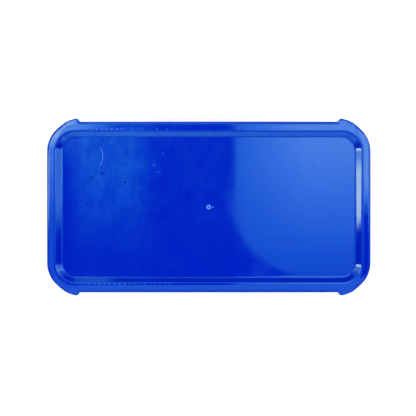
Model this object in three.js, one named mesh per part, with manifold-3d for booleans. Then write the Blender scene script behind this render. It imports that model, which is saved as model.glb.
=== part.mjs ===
// Drywall mud pan with a lift-off lid, in millimetres.
// The pan is a tapered trough moulded in polypropylene. A stainless scraping edge is riveted into the
// inner face of each long wall, a soft hand grip lies on each long wall's outside, and four rubber feet
// sit in the base. The lid drops over the rim: its skirt goes round the rim bead, its panel is recessed
// into the mouth, and four ears beside its rim give the fingers something to pull.
// Frame: +X along the pan, +Y across it, +Z up, origin on the floor under the middle of the pan.
import * as THREE from 'three';
import { mergeVertices } from 'three/addons/utils/BufferGeometryUtils.js';
import Module from 'manifold-3d';

// ---- Driving dimensions ----
// pan cavity
const mouthLength = 320;
const mouthWidth = 161.5;
const mouthCorner = 22.8;
const floorLength = 292;
const floorWidth = 96;
const floorCorner = 17;
const floorFillet = 6;
const cavityDepth = 78;
const landHeight = 17;
// pan walls
const wall = 2.4;
const floorThickness = 2.8;
const landThickness = 3.4;
const landStep = 3;
const rimWidth = 5.4;
const rimHeight = 3.2;
const rimRound = 1;
const baseRound = 2.4;
// scraping edges and their rivets
const edgeLength = 252;
const edgeHeight = 13;
const edgeThickness = 1;
const edgeStandProud = 1.2;
const edgeCorner = 3;
const rivetsPerEdge = 5;
const rivetEndInset = 16;
const rivetShank = 3.2;
const rivetHead = 7;
const rivetHeadHeight = 1.3;
const rivetTail = 5.2;
const rivetTailHeight = 1.1;
// hand grips
const gripLength = 196;
const gripHeight = 34;
const gripThickness = 3;
const gripSink = 1;
const gripCorner = 11;
const gripBevel = 0.7;
// feet
const footDiameter = 16;
const footExposed = 3;
const footSink = 1;
const footBevel = 0.8;
const footEndInset = 20;
const footSideInset = 17;
// lid
const lidWall = 1.8;
const lidClearance = 0.6;
const skirtDepth = 12;
const skirtDraft = 0.2;
const lidEdgeRound = 3.6;
const lidRimSlope = 0.35;
const lidRimAtEnds = 9.2;
const lidRimAtSides = 10.2;
const crestRound = 2.2;
const recessDepth = 5;
const panelInset = 15.3;
const recessFillet = 3.2;
const channelFillet = 1.5;
const gateDiameter = 5.3;
const gateDepth = 0.5;
const gateVestige = 1.6;
const earThickness = 2.6;
const earDrop = 0.5;
const earNose = 4;
const earNoseFromEnd = 30.2;
const earShift = [-7.5, -5.5];
const earStartAngle = 47;
// fits: the gap left between pieces that touch, and round what passes through a hole
const fitGap = 0.3;
const holeGap = 0.15;
// facets in a quarter turn of a corner, and in a whole small round piece
const cornerFacets = 8;
const roundFacets = 24;
const rivetFacets = 16;
const filletSteps = 4;
const earFacets = 8;

// ---- Derived levels and sizes ----
const baseZ = footExposed;
const floorZ = baseZ + floorThickness;
const rimZ = floorZ + cavityDepth;
const landZ = rimZ - landHeight;
const lidRoofZ = rimZ + fitGap;
const crestZ = lidRoofZ + lidWall;
const lidOffset = rimWidth + lidClearance + lidWall;
const lidHalf = [mouthLength / 2 + lidOffset, mouthWidth / 2 + lidOffset];
const lidCorner = mouthCorner + lidOffset;
const skirtZ = crestZ - skirtDepth;
const degrees = Math.PI / 180;

// ---- Solids: three.js geometry to and from manifold-3d ----
const wasm = await Module();
wasm.setup();

function toSolid(geometry) {
  const bare = geometry.clone();
  bare.deleteAttribute('normal');
  bare.deleteAttribute('uv');
  const merged = mergeVertices(bare, 1e-4);
  const mesh = new wasm.Mesh({
    numProp: 3,
    vertProperties: new Float32Array(merged.attributes.position.array),
    triVerts: new Uint32Array(merged.index.array),
  });
  return new wasm.Manifold(mesh);
}

function toGeometry(solid) {
  const mesh = solid.getMesh();
  const geometry = new THREE.BufferGeometry();
  geometry.setAttribute('position', new THREE.BufferAttribute(mesh.vertProperties, 3));
  geometry.setIndex(new THREE.BufferAttribute(mesh.triVerts, 1));
  return geometry;
}

// ---- Shapes ----
// Outline of a rounded rectangle, anticlockwise, with the same number of points whatever its size.
function roundedOutline(halfLength, halfWidth, radius, facets = cornerFacets) {
  const x = halfLength - radius;
  const y = halfWidth - radius;
  const centres = [[x, y, 0], [-x, y, 90], [-x, -y, 180], [x, -y, 270]];
  const points = [];
  for (const [cx, cy, start] of centres) {
    for (let i = 0; i <= facets; i++) {
      const angle = (start + (90 * i) / facets) * degrees;
      points.push(new THREE.Vector2(cx + radius * Math.cos(angle), cy + radius * Math.sin(angle)));
    }
  }
  return points;
}

function roundedShape(halfLength, halfWidth, radius, facets) {
  return new THREE.Shape(roundedOutline(halfLength, halfWidth, radius, facets));
}

// Closed skin through a stack of rounded rectangles { half: [x, y], radius, z }. The first and last
// sections are closed by a fan, and the skin faces out when the stack climbs the outside first.
function loft(sections) {
  const positions = [];
  const index = [];
  for (const { half, radius, z } of sections) {
    for (const point of roundedOutline(half[0], half[1], radius)) {
      positions.push(point.x, point.y, z);
    }
  }
  const count = positions.length / 3 / sections.length;
  for (let row = 0; row + 1 < sections.length; row++) {
    for (let i = 0; i < count; i++) {
      const next = (i + 1) % count;
      const a = row * count + i;
      const b = row * count + next;
      index.push(a, b, b + count, a, b + count, a + count);
    }
  }
  const first = positions.length / 3;
  positions.push(0, 0, sections[0].z);
  positions.push(0, 0, sections.at(-1).z);
  const lastRow = (sections.length - 1) * count;
  for (let i = 0; i < count; i++) {
    const next = (i + 1) % count;
    index.push(first, next, i);
    index.push(first + 1, lastRow + i, lastRow + next);
  }
  const geometry = new THREE.BufferGeometry();
  geometry.setAttribute('position', new THREE.Float32BufferAttribute(positions, 3));
  geometry.setIndex(index);
  return geometry;
}

// Extruded shape standing on z = 0, with the given bevel on both faces inside its outline and height.
function slab(shape, height, bevel = 0) {
  const geometry = new THREE.ExtrudeGeometry(shape, {
    depth: height - 2 * bevel,
    bevelEnabled: bevel > 0,
    bevelThickness: bevel,
    bevelSize: bevel,
    bevelOffset: -bevel,
    bevelSegments: 2,
    steps: 1,
    curveSegments: roundFacets / 2,
  });
  geometry.translate(0, 0, bevel);
  return geometry;
}

// Points along a quarter round from angle `from` to angle `to`, in degrees, as [across, up].
function arc(centre, radius, from, to, steps) {
  const points = [];
  for (let i = 0; i <= steps; i++) {
    const angle = (from + ((to - from) * i) / steps) * degrees;
    points.push([centre[0] + radius * Math.cos(angle), centre[1] + radius * Math.sin(angle)]);
  }
  return points;
}

// Evenly spaced places from -reach to +reach.
function spread(reach, count) {
  return Array.from({ length: count }, (_, i) => -reach + (2 * reach * i) / (count - 1));
}

// Outline points with the ones that coincide with the point before them left out.
function dropRepeats(points) {
  return points.filter((p, i) => p.distanceTo(points[(i + points.length - 1) % points.length]) > 1e-3);
}

// ---- Pan ----
const endLean = Math.atan2((mouthLength - floorLength) / 2, cavityDepth);
const sideLean = Math.atan2((mouthWidth - floorWidth) / 2, cavityDepth - landHeight);
// The wall of the leaning sides measured level: how far the outside stands off the cavity.
const wallLevel = wall / Math.cos(sideLean);

// The cavity at height z: the ends lean all the way up, the sides lean as far as the upright land.
function cavityAt(z) {
  const rise = (z - floorZ) / cavityDepth;
  const sideRise = Math.min((z - floorZ) / (cavityDepth - landHeight), 1);
  return {
    half: [
      THREE.MathUtils.lerp(floorLength, mouthLength, rise) / 2,
      THREE.MathUtils.lerp(floorWidth, mouthWidth, sideRise) / 2,
    ],
    radius: THREE.MathUtils.lerp(floorCorner, mouthCorner, sideRise),
  };
}

// How far the cavity's wall stands outside the floor's edge at a height above the floor, where a
// round fillet joins the floor to a wall of the given lean.
function filletReach(up, lean) {
  const turn = Math.PI / 2 - lean;
  if (up >= floorFillet * (1 - Math.cos(turn))) return up * Math.tan(lean);
  const chord = Math.sqrt(floorFillet ** 2 - (floorFillet - up) ** 2);
  return chord - floorFillet * Math.tan(turn / 2);
}

function grown(section, by, z) {
  return { half: section.half.map((v) => v + by), radius: section.radius + by, z };
}

function panShell() {
  const sections = [];
  // base with its rounded edge, then the leaning walls
  for (const [inward, up] of arc([baseRound, baseRound], baseRound, 270, 180, 3)) {
    sections.push(grown(cavityAt(baseZ + up), wallLevel - inward, baseZ + up));
  }
  const stepZ = landZ - landStep;
  sections.push(grown(cavityAt(stepZ), wallLevel, stepZ));
  // out to the land, and up to the rim bead with its rounded edges
  sections.push(grown(cavityAt(landZ), landThickness, landZ));
  sections.push(grown(cavityAt(rimZ), landThickness, rimZ - rimHeight));
  const mouth = cavityAt(rimZ);
  const bead = [
    ...arc([rimWidth - rimRound, rimZ - rimHeight + rimRound], rimRound, 270, 360, 2),
    ...arc([rimWidth - rimRound, rimZ - rimRound], rimRound, 0, 90, 2),
    ...arc([rimRound, rimZ - rimRound], rimRound, 90, 180, 2),
  ];
  for (const [out, z] of bead) sections.push(grown(mouth, out, z));
  // down the inside, round the floor fillet, to the floor
  sections.push({ ...cavityAt(landZ), z: landZ });
  const turn = Math.PI / 2 - endLean;
  for (let i = filletSteps; i >= 0; i--) {
    const up = floorFillet * (1 - Math.cos((turn * i) / filletSteps));
    const side = filletReach(up, sideLean);
    sections.push({
      half: [floorLength / 2 + filletReach(up, endLean), floorWidth / 2 + side],
      radius: floorCorner + side,
      z: floorZ + up,
    });
  }
  return toSolid(loft(sections));
}

// ---- Scraping edges and rivets, as built for the wall on +Y ----
const edgeZ = rimZ - edgeHeight / 2;
const landFaceY = mouthWidth / 2;
const rivetXs = spread(edgeLength / 2 - rivetEndInset, rivetsPerEdge);

// Plate of rounded outline standing on the long wall: thickness runs out along +Y from y.
function uprightPlate(halfLength, halfHeight, corner, thickness, y) {
  const geometry = slab(roundedShape(halfLength, halfHeight, corner, 4), thickness);
  geometry.rotateX(-Math.PI / 2);
  geometry.translate(0, y, edgeZ);
  return geometry;
}

function rivetHole(x, diameter) {
  const reach = landThickness + 2 * edgeThickness;
  const geometry = new THREE.CylinderGeometry(diameter / 2, diameter / 2, 2 * reach, roundFacets);
  geometry.translate(x, landFaceY + reach / 2, edgeZ);
  return toSolid(geometry);
}

function scrapingEdge() {
  let solid = toSolid(uprightPlate(edgeLength / 2, edgeHeight / 2, edgeCorner, edgeThickness, landFaceY));
  for (const x of rivetXs) solid = solid.subtract(rivetHole(x, rivetShank + 2 * holeGap));
  return toGeometry(solid);
}

// What the scraping edge takes out of the wall: its pocket, a step down in the rim behind it that
// leaves the steel standing proud, and the rivet holes.
function edgeCuts() {
  const depth = edgeThickness + fitGap;
  const halfLength = edgeLength / 2 + fitGap;
  const pocket = uprightPlate(
    halfLength, edgeHeight / 2 + fitGap, edgeCorner + fitGap, 2 * depth, landFaceY - depth);
  const step = new THREE.BoxGeometry(2 * halfLength, 4 * rimWidth, 2 * edgeStandProud);
  step.translate(0, landFaceY, rimZ);
  let cuts = toSolid(pocket).add(toSolid(step));
  for (const x of rivetXs) cuts = cuts.add(rivetHole(x, rivetShank + 2 * holeGap));
  return cuts;
}

// Turned about the wall's normal: domed head on the steel, shank, and set head outside.
function rivet() {
  const head = rivetHead / 2;
  const out = landThickness + fitGap;
  const profile = [
    [0, -fitGap - rivetHeadHeight],
    [head * 0.5, -fitGap - rivetHeadHeight * 0.88],
    [head * 0.85, -fitGap - rivetHeadHeight * 0.5],
    [head, -fitGap],
    [rivetShank / 2, -fitGap],
    [rivetShank / 2, out],
    [rivetTail / 2, out],
    [rivetTail / 2, out + rivetTailHeight * 0.6],
    [rivetTail / 2 * 0.6, out + rivetTailHeight],
    [0, out + rivetTailHeight],
  ].map(([r, along]) => new THREE.Vector2(r, along));
  return new THREE.LatheGeometry(profile, rivetFacets);
}

// ---- Hand grips, as built for the wall on +Y ----
// A grip lies on the leaning wall's outside: its width runs up the slope and it stands off outwards.
function onLeaningWall(geometry, sink) {
  const z = (baseZ + landZ - landStep) / 2;
  const y = cavityAt(z).half[1] + wallLevel;
  const up = new THREE.Vector3(0, Math.sin(sideLean), Math.cos(sideLean));
  const out = new THREE.Vector3(0, Math.cos(sideLean), -Math.sin(sideLean));
  const place = new THREE.Matrix4().makeBasis(new THREE.Vector3(-1, 0, 0), up, out);
  place.setPosition(new THREE.Vector3(0, y, z).addScaledVector(out, -sink));
  return geometry.applyMatrix4(place);
}

function grip() {
  const shape = roundedShape(gripLength / 2, gripHeight / 2, gripCorner, 6);
  return onLeaningWall(slab(shape, gripThickness, gripBevel), gripSink - fitGap);
}

function gripPocket() {
  const by = fitGap;
  const shape = roundedShape(gripLength / 2 + by, gripHeight / 2 + by, gripCorner + by, 6);
  return toSolid(onLeaningWall(slab(shape, 2 * gripSink), gripSink));
}

// ---- Feet ----
const footXs = [-1, 1].map((side) => side * (floorLength / 2 - footEndInset));
const footYs = [-1, 1].map((side) => side * (floorWidth / 2 - footSideInset));

function foot() {
  const radius = footDiameter / 2;
  const top = footExposed + footSink - fitGap;
  const profile = [
    [0, 0],
    [radius - footBevel, 0],
    [radius, footBevel],
    [radius, top],
    [0, top],
  ].map(([r, z]) => new THREE.Vector2(r, z));
  return new THREE.LatheGeometry(profile, roundFacets).rotateX(Math.PI / 2);
}

function footSocket(x, y) {
  const radius = footDiameter / 2 + fitGap;
  const geometry = new THREE.CylinderGeometry(radius, radius, 2 * footSink, roundFacets);
  geometry.rotateX(Math.PI / 2);
  geometry.translate(x, y, baseZ);
  return toSolid(geometry);
}

function pan() {
  const rearCuts = edgeCuts().add(gripPocket());
  let solid = panShell().subtract(rearCuts).subtract(rearCuts.rotate([0, 0, 180]));
  for (const x of footXs) {
    for (const y of footYs) solid = solid.subtract(footSocket(x, y));
  }
  return toGeometry(solid);
}

// ---- Lid ----
// A section of the lid, set in from its outside by one amount at the ends and another at the sides.
function lidSection(inEnds, inSides, z) {
  return {
    half: [lidHalf[0] - inEnds, lidHalf[1] - inSides],
    radius: lidCorner - (inEnds + inSides) / 2,
    z: crestZ + z,
  };
}

// Set-in of a point that lies `run` of the way from the crest (0) to the panel's edge (1).
function slopeSection(run, z) {
  const ends = THREE.MathUtils.lerp(lidRimAtEnds, panelInset, run);
  const sides = THREE.MathUtils.lerp(lidRimAtSides, panelInset, run);
  return lidSection(ends, sides, z);
}

function lidShell() {
  const meanRun = panelInset - (lidRimAtEnds + lidRimAtSides) / 2;
  const slope = Math.atan2(recessDepth, meanRun);
  const turn = slope / degrees;
  const bend = Math.tan(slope / 2);
  const under = (lidWall * bend) / meanRun;
  const sections = [];
  // underside: panel, slope, roof of the channel, inside of the skirt
  sections.push(slopeSection(1 - under, -recessDepth - lidWall));
  sections.push(slopeSection(-under, -lidWall));
  const channelCorner = [lidWall + channelFillet, -lidWall - channelFillet];
  for (const [inward, z] of arc(channelCorner, channelFillet, 90, 180, 3)) {
    sections.push(lidSection(inward, inward, z));
  }
  const flare = lidWall - skirtDraft;
  sections.push(lidSection(flare, flare, -skirtDepth));
  // outside of the skirt, the rounded edge, and the rim sloping up to the crest
  sections.push(lidSection(-skirtDraft, -skirtDraft, -skirtDepth));
  const edgeTop = -lidRimSlope - lidEdgeRound;
  for (const [inward, z] of arc([lidEdgeRound, edgeTop], lidEdgeRound, 180, 90, 4)) {
    sections.push(lidSection(inward, inward, z));
  }
  // over the crest, down the slope and round into the panel
  const crestCentre = -crestRound * bend;
  for (const [x, z] of arc([crestCentre, -crestRound], crestRound, 90, 90 - turn, 3)) {
    sections.push(slopeSection(x / meanRun, z));
  }
  const filletCentre = meanRun + recessFillet * bend;
  for (const [x, z] of arc([filletCentre, recessFillet - recessDepth], recessFillet, 270 - turn, 270, 3)) {
    sections.push(slopeSection(x / meanRun, z));
  }
  return toSolid(loft(sections));
}

// Ear at the corner on the sides given by the signs: an arc that leaves the skirt part of the way
// round the corner, swells past the long side, and ends in a small round nose.
function ear(signX, signY) {
  const corner = [lidHalf[0] - lidCorner, lidHalf[1] - lidCorner];
  const centre = [corner[0] + earShift[0], corner[1] + earShift[1]];
  const start = earStartAngle * degrees;
  const skirt = lidCorner + skirtDraft;
  const from = [corner[0] + skirt * Math.cos(start), corner[1] + skirt * Math.sin(start)];
  const radius = Math.hypot(from[0] - centre[0], from[1] - centre[1]);
  const noseX = lidHalf[0] - earNoseFromEnd;
  const noseY = centre[1] + Math.sqrt((radius - earNose) ** 2 - (noseX - centre[0]) ** 2);
  const turnAt = (point) => Math.atan2(point[1] - centre[1], point[0] - centre[0]);
  const noseTurn = turnAt([noseX, noseY]);
  // the outline closes inside the skirt's wall
  const root = lidWall / 2;
  const noseEnd = Math.PI - Math.asin((lidHalf[1] - root - noseY) / earNose);
  const shape = new THREE.Shape();
  shape.moveTo(...from);
  shape.absarc(...centre, radius, turnAt(from), noseTurn, false);
  shape.absarc(noseX, noseY, earNose, noseTurn, noseEnd, false);
  shape.lineTo(corner[0], lidHalf[1] - root);
  shape.absarc(...corner, lidCorner - root, Math.PI / 2, start, true);
  const points = shape.getPoints(earFacets).map((p) => new THREE.Vector2(signX * p.x, signY * p.y));
  const geometry = slab(new THREE.Shape(dropRepeats(points)), earThickness);
  geometry.translate(0, 0, crestZ - earDrop - earThickness);
  return toSolid(geometry);
}

// Ring left by the moulding gate in the middle of the panel, round its cut-off stub.
function gateRing() {
  const profile = [
    [gateVestige / 2, 0.1],
    [gateVestige / 2, -gateDepth],
    [gateDiameter / 2 - gateDepth, -gateDepth],
    [gateDiameter / 2, 0],
    [gateDiameter / 2, 0.1],
    [gateVestige / 2, 0.1],
  ].map(([r, z]) => new THREE.Vector2(r, z));
  const geometry = new THREE.LatheGeometry(profile, roundFacets);
  geometry.rotateX(Math.PI / 2);
  geometry.translate(0, 0, crestZ - recessDepth);
  return toSolid(geometry);
}

function lid() {
  let solid = lidShell().subtract(gateRing());
  for (const signX of [-1, 1]) {
    for (const signY of [-1, 1]) solid = solid.add(ear(signX, signY));
  }
  return toGeometry(solid);
}

// ---- Materials ----
const pigmented = { roughness: 0.2, metalness: 0 };
const panBlue = () => new THREE.MeshStandardMaterial({ color: 0x0a2cb4, ...pigmented });
const lidBlue = () => new THREE.MeshStandardMaterial({ color: 0x0a2cc8, ...pigmented });
const steel = () => new THREE.MeshStandardMaterial({ color: 0xc2c5c9, roughness: 0.35, metalness: 1 });
const gripRubber = () => new THREE.MeshStandardMaterial({ color: 0x23262b, roughness: 0.8 });
const footRubber = () => new THREE.MeshStandardMaterial({ color: 0x1b1c1e, roughness: 0.85 });

// ---- Assembly ----
function part(name, geometry, material) {
  const mesh = new THREE.Mesh(geometry, material);
  mesh.name = name;
  return mesh;
}

const mudPan = new THREE.Group();
const panGroup = new THREE.Group();
panGroup.add(part('pan', pan(), panBlue()));
for (const [side, turn] of [['rear', 0], ['front', Math.PI]]) {
  const wallGroup = new THREE.Group();
  wallGroup.rotation.z = turn;
  wallGroup.add(part(`${side}_scraping_edge`, scrapingEdge(), steel()));
  wallGroup.add(part(`${side}_hand_grip`, grip(), gripRubber()));
  rivetXs.forEach((x, i) => {
    const mesh = part(`${side}_rivet_${i + 1}`, rivet(), steel());
    mesh.position.set(x, landFaceY, edgeZ);
    wallGroup.add(mesh);
  });
  panGroup.add(wallGroup);
}
for (const [endName, x] of [['left', footXs[0]], ['right', footXs[1]]]) {
  for (const [sideName, y] of [['front', footYs[0]], ['rear', footYs[1]]]) {
    const mesh = part(`foot_${sideName}_${endName}`, foot(), footRubber());
    mesh.position.set(x, y, 0);
    panGroup.add(mesh);
  }
}
mudPan.add(panGroup);
mudPan.add(part('lid', lid(), lidBlue()));

export default mudPan;
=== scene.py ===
# %% [markdown]
# # A drywall mud pan with its lid on
# The object is a plasterer's mud pan: a tapered trough that holds joint compound, closed by a lid that
# lifts straight off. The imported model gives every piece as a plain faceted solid. Here each one is made
# again as a fine surface in the same place, and gets the finish that it has on the real pan.
# Lengths are in millimetres until a mesh is made, because that is how such a pan is drawn.

# %% Load the frame
import bpy
import numpy as np
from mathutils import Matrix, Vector


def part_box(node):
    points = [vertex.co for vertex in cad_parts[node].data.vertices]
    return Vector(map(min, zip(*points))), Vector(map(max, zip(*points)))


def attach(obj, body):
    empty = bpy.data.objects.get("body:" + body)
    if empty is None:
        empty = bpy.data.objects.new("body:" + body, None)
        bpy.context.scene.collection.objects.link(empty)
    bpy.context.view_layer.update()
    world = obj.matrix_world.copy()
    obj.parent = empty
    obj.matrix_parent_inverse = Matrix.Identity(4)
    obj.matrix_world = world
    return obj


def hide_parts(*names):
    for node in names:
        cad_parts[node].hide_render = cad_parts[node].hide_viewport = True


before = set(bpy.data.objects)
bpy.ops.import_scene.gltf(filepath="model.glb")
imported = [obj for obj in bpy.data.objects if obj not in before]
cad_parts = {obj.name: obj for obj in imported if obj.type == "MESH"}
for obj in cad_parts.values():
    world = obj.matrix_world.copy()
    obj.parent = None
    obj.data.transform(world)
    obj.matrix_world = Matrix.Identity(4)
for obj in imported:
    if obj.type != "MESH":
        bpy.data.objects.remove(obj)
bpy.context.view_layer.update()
MM = 0.001


def node_box(name):
    """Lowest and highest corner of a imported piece, in millimetres."""
    low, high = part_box(name)
    return np.array(low) / MM, np.array(high) / MM


lid_low, lid_high = node_box("lid")
pan_low, pan_high = node_box("pan")
print("lid", lid_low.round(2), lid_high.round(2))
print("pan", pan_low.round(2), pan_high.round(2))

# %% [markdown]
# ## Camera
# The pan is looked at from straight above, as a catalogue does it. A lens of about 58 mm stands 700 mm
# over the lid's rim, which is close enough that the recessed panel looks a little smaller than its
# opening. The camera comes first, because the size of everything on screen follows from it: the view
# is 430 mm wide at the level of the rim, and the lens is a millimetre off the pan's middle.

# %% Camera
SENSOR = 36.0
VIEW_WIDTH = 429.52
CAMERA_HEIGHT = 700.0
CAMERA_XY = (-0.826, -1.0325)

crest_z = lid_high[2]
camera_data = bpy.data.cameras.new("camera")
camera_data.sensor_width = SENSOR
camera_data.lens = SENSOR * CAMERA_HEIGHT / VIEW_WIDTH
camera_data.clip_end = 20.0
camera = bpy.data.objects.new("camera", camera_data)
camera.location = Vector((*CAMERA_XY, crest_z + CAMERA_HEIGHT)) * MM
bpy.context.scene.collection.objects.link(camera)
bpy.context.scene.camera = camera
print("lens", round(camera_data.lens, 2))

# %% [markdown]
# ## One outline for everything moulded
# Lid and pan are rounded rectangles at every height. A point of the outline is either on a corner's
# quarter circle or part of the way along the straight between two corners. If each level uses the same
# list of such points, levels can be joined row to row into one closed skin, like a lathe that follows a
# rectangle. That gives clean quads where a boolean cut would leave slivers.

# %% Outline points
DEGREES = np.pi / 180


def perimeter(turns, long_parts, short_parts):
    """Points of a rounded rectangle, as two corner directions and a weight between them.

    turns are angles of the first corner in degrees, from 0 to 90. long_parts and short_parts are
    fractions between 0 and 1 along the straight stretches, and are mirrored about the middle.
    """
    rows = []
    for k, flip in enumerate((False, True, False, True)):
        angles = 90 - turns[::-1] if flip else turns
        sign = ((1, 1), (-1, 1), (-1, -1), (1, -1))
        here, there = sign[k], sign[(k + 1) % 4]
        for angle in angles:
            rows.append((*here, *here, 90 * k + angle, 0.0))
        parts = short_parts if flip else long_parts
        for part in parts:
            rows.append((*here, *there, 90 * (k + 1), part))
    return np.array(rows)


def levels(points, half_x, half_y, radius, z, out=0.0):
    """Rows of 3-D points: centre of a corner, plus its radius in the point's direction.

    half_x, half_y, radius and z have one value for each row, or one for each row and point. out moves
    a point further along its direction, which is the outline's normal.
    """
    half_x, half_y, radius, z, out = (
        np.asarray(v, float)[:, None] if np.ndim(v) == 1 else np.asarray(v, float)
        for v in (half_x, half_y, radius, z, out)
    )
    here_x, here_y, there_x, there_y, angle, part = points.T
    sign_x = here_x + (there_x - here_x) * part
    sign_y = here_y + (there_y - here_y) * part
    reach = radius + out
    x = sign_x * (half_x - radius) + reach * np.cos(angle * DEGREES)
    y = sign_y * (half_y - radius) + reach * np.sin(angle * DEGREES)
    return np.stack([x, y, np.broadcast_to(z, x.shape)], axis=-1)


def ramp(value, start, end):
    """Share from 0 at start to 1 at end, straight in between."""
    return np.clip((value - start) / (end - start), 0, 1)


def arc(centre, radius, start, end, steps):
    """Points on an arc in a section, as rows of (across, up), from one angle to another in degrees."""
    angle = np.linspace(start, end, steps + 1) * DEGREES
    return np.stack([centre[0] + radius * np.cos(angle), centre[1] + radius * np.sin(angle)], axis=1)


# %% [markdown]
# A skin becomes a mesh in one step: all vertices at once, then all quads at once, with a fan of
# triangles where a skin closes on a centre point. Edges that turn by more than 40 degrees stay sharp.

# %% Mesh from grids
def skins(name, grids, material, wrap=True, closed=True):
    """Mesh of one or more grids of points in mm. Rows join row to row and, if wrap, end to start.

    If closed, the first and the last row each close on the middle of their own points.
    """
    points, faces, count = [], [], 0
    for grid in grids:
        rows, columns, _ = grid.shape
        row = count + np.arange(rows - 1)[:, None] * columns
        column = np.arange(columns if wrap else columns - 1)[None, :]
        after = (column + 1) % columns
        quads = np.stack([row + column, row + after, row + columns + after, row + columns + column], -1)
        faces += quads.reshape(-1, 4).tolist()
        points.append(grid.reshape(-1, 3))
        if closed:
            points.append(np.stack([grid[0].mean(0), grid[-1].mean(0)]))
            first = count + rows * columns
            start = first - columns
            around = np.arange(columns)
            step = (around + 1) % columns
            faces += np.stack([np.full(columns, first), count + step, count + around], 1).tolist()
            faces += np.stack([np.full(columns, first + 1), start + around, start + step], 1).tolist()
        count = sum(len(p) for p in points)
    mesh = bpy.data.meshes.new(name)
    mesh.from_pydata((np.concatenate(points) * MM).tolist(), [], faces)
    mesh.validate()
    mesh.shade_smooth()
    mesh.set_sharp_from_angle(angle=40 * DEGREES)
    mesh.materials.append(material)
    made = bpy.data.objects.new(name, mesh)
    bpy.context.scene.collection.objects.link(made)
    print(name, len(mesh.vertices), "points", len(mesh.polygons), "faces")
    return made


def skin(name, grid, material, **how):
    """Mesh of a single grid."""
    return skins(name, [grid], material, **how)


def stand_for(piece, body, slot, *nodes):
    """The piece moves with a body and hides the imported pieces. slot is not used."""
    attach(piece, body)
    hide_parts(*nodes)


# %% [markdown]
# ## Materials
# Colours are written as the sRGB hex values that a colour picker gives, and turned to the linear values
# that light is reckoned in. One helper adds a node, sets it and links it.

# %% Colour and node helpers
def linear(hex_colour):
    """Linear RGBA of an sRGB hex colour."""
    srgb = np.array([int(hex_colour[i:i + 2], 16) for i in (1, 3, 5)]) / 255
    rgb = np.where(srgb <= 0.04045, srgb / 12.92, ((srgb + 0.055) / 1.055) ** 2.4)
    return (*rgb, 1.0)


def add(tree, kind, inputs=(), out=None, **settings):
    """Adds a node with its settings, and fills its inputs with values or other nodes' outputs.

    inputs is a dict by socket name or place, or a row of values for the first sockets in order. What
    comes back is the output socket that out names, or the node itself.
    """
    made = tree.nodes.new("ShaderNode" + kind)
    for key, value in settings.items():
        setattr(made, key, value)
    for key, value in (inputs if isinstance(inputs, dict) else dict(enumerate(inputs))).items():
        if isinstance(value, bpy.types.NodeSocket):
            tree.links.new(value, made.inputs[key])
        else:
            made.inputs[key].default_value = value
    return made if out is None else made.outputs[out]


# A Mix node has sockets of the same name for numbers, vectors and colours, so colours go by place.
MIX_SHARE, MIX_A, MIX_B, MIX_COLOUR = 0, 6, 7, 2
COLOURS = {"data_type": "RGBA"}


def new_material(name):
    """An empty material's node tree, with its Principled shader joined to the output."""
    material = bpy.data.materials.new(name)
    material.use_nodes = True
    tree = material.node_tree
    tree.nodes.clear()
    shader = add(tree, "BsdfPrincipled")
    add(tree, "OutputMaterial", {"Surface": shader.outputs["BSDF"]})
    return material, tree, shader


# %% [markdown]
# ### Moulded polypropylene
# Lid and pan are injection-moulded polypropylene with a strong blue pigment. Its index of refraction is
# about 1.49. The lid comes from a polished mould and is nearly a mirror; the pan's mould is spark-eroded
# and leaves a fine satin grain. On both, the melt shrinks unevenly, so pigment and gloss vary in soft
# clouds, and stacking and wiping leave hairlines. All of it is noise in the piece's own coordinates, and
# its scale is worked out from a size in millimetres.

# %% Moulded plastic
def every(size):
    """Noise scale for features about size mm wide. Object coordinates are in metres."""
    return 1 / (size * MM)


def moulded_plastic(name, colour, deep, roughness, haze, grain_size, grain_depth, sheen_tint):
    """Pigmented polypropylene: its tree, place, colour and roughness so far, for a piece's own marks.

    haze is how much rougher its dull patches are. The grain's size and depth are in mm.
    """
    material, tree, shader = new_material(name)
    place = add(tree, "TexCoord", out="Object")
    # dull patches about 35 mm across, broken up by finer ones
    patch = {"Vector": place, "Scale": every(35), "Detail": 6.0, "Roughness": 0.65}
    patch = add(tree, "TexNoise", patch, "Fac")
    rough = add(tree, "MapRange", (patch, 0.42, 0.72, roughness, roughness + haze), "Result")
    # hairlines from wiping, drawn 0.4 mm wide so that they show
    for turn, way in ((0.35, (1, 14, 1)), (-1.1, (1, 11, 1))):
        drawn = add(tree, "Mapping", {"Vector": place, "Rotation": (0, 0, turn), "Scale": way}, "Vector")
        hair = add(tree, "TexNoise", {"Vector": drawn, "Scale": every(16), "Detail": 3.0}, "Fac")
        hair = add(tree, "MapRange", (hair, 0.62, 0.75, 0.0, haze * 0.6), "Result")
        rough = add(tree, "Math", (rough, hair), "Value", operation="ADD")
    cloud = add(tree, "TexNoise", {"Vector": place, "Scale": every(80), "Detail": 3.0}, "Fac")
    tones = {MIX_SHARE: cloud, MIX_A: linear(colour), MIX_B: linear(deep)}
    tone = add(tree, "Mix", tones, MIX_COLOUR, **COLOURS)
    grain = add(tree, "TexNoise", {"Vector": place, "Scale": every(grain_size)}, "Fac")
    bump = {"Height": grain, "Distance": grain_depth * MM, "Strength": 1.0}
    tree.links.new(add(tree, "Bump", bump, "Normal"), shader.inputs["Normal"])
    shader.inputs["IOR"].default_value = 1.49
    shader.inputs["Specular Tint"].default_value = linear(sheen_tint)
    return material, tree, shader, place, tone, rough


def finish(tree, shader, tone, rough):
    """Joins the last colour and roughness to the shader."""
    tree.links.new(tone, shader.inputs["Base Color"])
    tree.links.new(rough, shader.inputs["Roughness"])
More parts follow.
